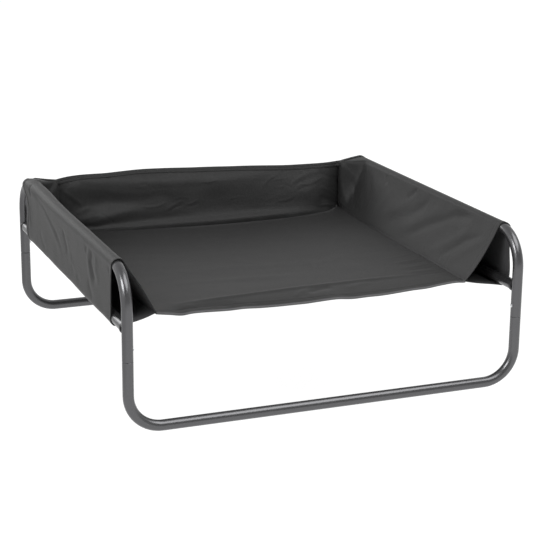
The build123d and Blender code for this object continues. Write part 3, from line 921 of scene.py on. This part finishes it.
def tack_corners():
    """Bar tacks in paler thread where the wall's corners meet the floor."""
    rows = [
        row_on("back_wall_cloth", 5, (side, side + turn * TACK_LENGTH / WALL_FLAT[0]), (at, at), 0.3)
        for side, turn in TACK_SIDES
        for at in TACK_HEIGHTS
    ]
    return stitch_rows("corner_bar_tacks", rows, length=1.8, pitch=2.4, girth=0.5)


seams = [stitch_sleeve("left"), stitch_sleeve("right"), stitch_floor(), stitch_wall()]
corner_tacks = tack_corners()

# Materials


def colour(code):
    """An sRGB hex value as linear red, green, blue and alpha."""
    parts = [int(code[i : i + 2], 16) / 255 for i in (0, 2, 4)]
    return [p / 12.92 if p <= 0.04045 else ((p + 0.055) / 1.055) ** 2.4 for p in parts] + [1.0]


def fill(node, inputs):
    """Gives a node's sockets their values or links."""
    for name, value in inputs.items():
        if isinstance(value, bpy.types.NodeSocket):
            node.id_data.links.new(value, node.inputs[name])
        else:
            node.inputs[name].default_value = value


def add_node(tree, kind, inputs=None, **settings):
    """Adds a shader node with its settings, and its sockets' values or links."""
    node = tree.nodes.new(kind)
    for name, value in settings.items():
        setattr(node, name, value)
    fill(node, inputs or {})
    return node


def new_material(name):
    """An empty material: its node tree and its principled shader."""
    material = bpy.data.materials.new(name)
    material.use_nodes = True
    tree = material.node_tree
    tree.nodes.clear()
    shader = add_node(tree, "ShaderNodeBsdfPrincipled")
    add_node(tree, "ShaderNodeOutputMaterial", {"Surface": shader.outputs["BSDF"]})
    return material, tree, shader


def placed(tree, space):
    """Where a texture is read: by the cloth's UV map, or in metres on an object."""
    return add_node(tree, "ShaderNodeTexCoord").outputs[space]


def clouds(tree, place, scale, detail, roughness=0.5):
    """A cloudy pattern from 0 to 1."""
    inputs = {"Vector": place, "Scale": scale, "Detail": detail, "Roughness": roughness}
    return add_node(tree, "ShaderNodeTexNoise", inputs).outputs["Fac"]


def yarns(tree, place, direction):
    """Slightly uneven bands from 0 to 1, one to every yarn."""
    inputs = {
        "Vector": place,
        "Scale": 2 * math.pi / (WAVE_TURNS * YARN_PITCH * MM),
        "Distortion": 0.4,
        "Detail": 1.0,
        "Detail Scale": 0.3,
    }
    return add_node(tree, "ShaderNodeTexWave", inputs, bands_direction=direction).outputs["Fac"]


def between(tree, share, dark, light):
    """A colour between two others, by a pattern from 0 to 1."""
    inputs = {0: share, 6: dark, 7: light}
    return add_node(tree, "ShaderNodeMix", inputs, data_type="RGBA").outputs[2]


def bumps(tree, height, strength, distance, under=None):
    """A pattern as bumps this many metres high, with other bumps under it."""
    inputs = {"Height": height, "Strength": strength, "Distance": distance}
    if under is not None:
        inputs["Normal"] = under
    return add_node(tree, "ShaderNodeBump", inputs).outputs["Normal"]


# The canvas's yarns are 0.5 mm apart, drawn further apart so that they show in close views
YARN_PITCH = 1.1
# A wave texture's bands at scale 1 go through this many radians in a metre
WAVE_TURNS = 20


def woven_canvas():
    """Solution-dyed polyester, plain woven: dull, with a soft sheen at grazing angles."""
    material, tree, shader = new_material("woven_polyester_canvas")
    place = placed(tree, "UV")
    warp_and_weft = {0: yarns(tree, place, "X"), 1: yarns(tree, place, "Y")}
    weave = add_node(tree, "ShaderNodeMath", warp_and_weft, operation="MAXIMUM").outputs["Value"]
    slub = clouds(tree, place, 160.0, 3.0, 0.6)
    patch = clouds(tree, place, 9.0, 2.0)
    tone = between(tree, patch, colour("131313"), colour("171717"))
    relief = bumps(tree, weave, 0.25, 0.0003)
    look = {
        "Base Color": between(tree, slub, tone, colour("232323")),
        "Normal": bumps(tree, slub, 0.5, 0.0008, under=relief),
        "Roughness": 0.58,
        "IOR": 1.5,
        "Specular IOR Level": 0.33,
        "Sheen Weight": 0.05,
        "Sheen Roughness": 0.4,
    }
    fill(shader, look)
    return material


def canvas_back_and_painted_fill():
    """The canvas's other side, knife-spread with polyurethane: a smooth dark grey film over the weave. Its
    grey is partly painted light, lighter than the canvas to brighten the shaded insides of the sleeves.
    """
    material, tree, shader = new_material("canvas_back_coating_and_painted_fill")
    place = placed(tree, "UV")
    drag = clouds(tree, place, 30.0, 3.0)
    look = {
        "Base Color": between(tree, drag, colour("3a3a3b"), colour("464647")),
        "Normal": bumps(tree, yarns(tree, place, "DIAGONAL"), 0.12, 0.0003),
        "Roughness": 0.45,
    }
    fill(shader, look)
    return material


def sewing_thread(name, shade):
    """Bonded polyester: twisted plies, a little glossier than the canvas."""
    material, tree, shader = new_material(name)
    inputs = {"Vector": placed(tree, "UV"), "Scale": 6.0}
    plies = add_node(tree, "ShaderNodeTexWave", inputs, bands_direction="DIAGONAL")
    look = {
        "Base Color": colour(shade),
        "Normal": bumps(tree, plies.outputs["Fac"], 0.4, 0.0002),
        "Roughness": 0.45,
    }
    fill(shader, look)
    return material


def hard_finish(name, scale, detail, shades, roughness, metallic=0.0, relief=None, stretch=(1, 1, 1)):
    """Clouded between two shades, with bumps where relief gives their scale, strength and height."""
    material, tree, shader = new_material(name)
    inputs = {"Vector": placed(tree, "Object"), "Scale": stretch}
    place = add_node(tree, "ShaderNodeMapping", inputs).outputs["Vector"]
    dark, light = (colour(shade) for shade in shades)
    look = {
        "Base Color": between(tree, clouds(tree, place, scale, detail), dark, light),
        "Roughness": roughness,
        "Metallic": metallic,
    }
    if relief is not None:
        look["Normal"] = bumps(tree, clouds(tree, place, relief[0], 2.0), *relief[1:])
    fill(shader, look)
    return material


def dress(piece, *materials):
    """Gives a piece its materials, in the order of its slots."""
    piece.data.materials.clear()
    for material in materials:
        piece.data.materials.append(material)


canvas = woven_canvas()
# The inner side is partly a real coating and partly painted light: its lighter grey stands in for fill
# light inside the sleeves
back_coating_and_fill = canvas_back_and_painted_fill()
for piece in (left_sleeve, right_sleeve, floor_cloth, wall_cloth, front_hem, back_hem):
    piece.data.materials[0] = canvas
    piece.data.materials[1] = back_coating_and_fill

thread = sewing_thread("bonded_polyester_thread", "1c1c1d")
for seam in seams:
    dress(seam, thread)
dress(corner_tacks, sewing_thread("pale_polyester_thread", "8c8c8a"))

# Metallic powder coat baked on steel tube: a grey film with fine flake, satin gloss
flake = ("59595b", "646465")
coat = hard_finish("metallic_powder_coated_steel", 900.0, 2.0, flake, 0.27, 0.85, (60.0, 0.02, 0.0004))
# Moulded polypropylene: near-black, fine spark grain, low gloss
black = ("161617", "202021")
plastic = hard_finish("moulded_polypropylene", 1400.0, 2.0, black, 0.5, relief=(1400.0, 0.2, 0.0002))
# Turned steel, bright zinc plated, with small clouds in the plating
zinc = hard_finish("zinc_plated_steel", 400.0, 3.0, ("c4c6c8", "dcdddd"), 0.25, 1.0)
# Rolled spring strip, oiled: darker, and streaked along its length
oiled = ("76777a", "909194")
strip = hard_finish("rolled_spring_steel", 1.0, 2.0, oiled, 0.35, 1.0, stretch=(600, 600, 30))

FINISHES = {"frame": coat, "rail": coat, "saddle": plastic, "button": zinc, "leaf": strip}
for name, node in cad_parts.items():
    finish = FINISHES.get(name.split("_")[-1])
    if finish is not None:
        dress(node, finish)

# Studio floor, light and camera
#
# The floor stands under the leg frames' feet when they are pulled down by 90 mm
GROUND_Z = -0.092
GROUND_SIZE = 80


def ramp(tree, value, start, end, **settings):
    """A value that goes from start to end, each as (value in, value out)."""
    inputs = {"Value": value, "From Min": start[0], "From Max": end[0]}
    inputs |= {"To Min": start[1], "To Max": end[1]}
    return add_node(tree, "ShaderNodeMapRange", inputs, **settings).outputs["Result"]


def studio_floor():
    """A pale floor that glows with painted light, less so towards the left and the back."""
    bpy.ops.mesh.primitive_plane_add(size=GROUND_SIZE, location=(0, 0, GROUND_Z))
    ground = bpy.context.object
    ground.name = "studio_floor"
    material, tree, shader = new_material("glowing_white_floor")
    # Painted light: the floor's glow lights the bed from below and washes out its shadow, and is dimmer to
    # the left and back so that the cloth reflects less light there
    inputs = {0: placed(tree, "Object"), 1: (1.0, -0.23, 0.0)}
    aslant = add_node(tree, "ShaderNodeVectorMath", inputs, operation="DOT_PRODUCT")
    way = aslant.outputs["Value"]
    glow = ramp(tree, way, (-1.1, 0.57), (-0.58, 0.93), interpolation_type="SMOOTHSTEP")
    look = {
        "Base Color": colour("6a6a6a"),
        "Roughness": 0.9,
        "Emission Color": colour("ffffff"),
        "Emission Strength": glow,
    }
    fill(shader, look)
    ground.data.materials.append(material)


def white_studio():
    """White all round, dimmer from the front and from above."""
    world = bpy.data.worlds.new("white_studio")
    bpy.context.scene.world = world
    world.use_nodes = True
    tree = world.node_tree
    direction = add_node(tree, "ShaderNodeSeparateXYZ", {"Vector": placed(tree, "Generated")})
    level = ramp(tree, direction.outputs["Y"], (-0.8, 0.46), (0.1, 0.95))
    dimmer = ramp(tree, direction.outputs["Z"], (0.25, 0.0), (1.0, 0.42))
    light = add_node(tree, "ShaderNodeMath", {0: level, 1: dimmer}, operation="SUBTRACT")
    look = {"Color": colour("ffffff"), "Strength": light.outputs["Value"]}
    fill(tree.nodes["Background"], look)


def softbox(name, place, aim, size, power):
    """A rectangular light of this size in metres and power in watts, aimed at a point."""
    light = bpy.data.lights.new(name, "AREA")
    light.shape = "RECTANGLE"
    light.size, light.size_y = size
    light.energy = power
    lamp = bpy.data.objects.new(name, light)
    bpy.context.scene.collection.objects.link(lamp)
    lamp.location = place
    lamp.rotation_mode = "QUATERNION"
    lamp.rotation_quaternion = (Vector(aim) - Vector(place)).to_track_quat("-Z", "Y")


studio_floor()
white_studio()
softbox("left_softbox", (-2.5, -1.3, 2.1), (0, 0, 0.2), (1.4, 1.4), 62)
softbox("back_softbox", (-1.3, 3.0, 1.4), (0, 0, 0.2), (1.8, 1.2), 19)
softbox("top_softbox", (0.9, -1.4, 2.5), (0.1, -0.4, 0.1), (2.6, 1.8), 52)

# The camera that the photograph was taken with, found from the frame's edges and bends
EYE = (-1.21634, -3.13269, 1.13290)
RIGHT = (0.92950268, -0.36869067, 0.00958978)
UP = (0.09242291, 0.25802094, 0.96170848)
AHEAD = (0.35704731, 0.89302429, -0.27390662)
lens = bpy.data.cameras.new("photo_camera")
lens.lens = 105.09
lens.sensor_width = 36
camera = bpy.data.objects.new("photo_camera", lens)
bpy.context.scene.collection.objects.link(camera)
axes = Matrix((RIGHT, UP, tuple(-v for v in AHEAD))).transposed()
camera.rotation_mode = "QUATERNION"
camera.rotation_quaternion = axes.to_quaternion()
camera.location = EYE
bpy.context.scene.camera = camera
bpy.context.scene.view_settings.view_transform = "Standard"
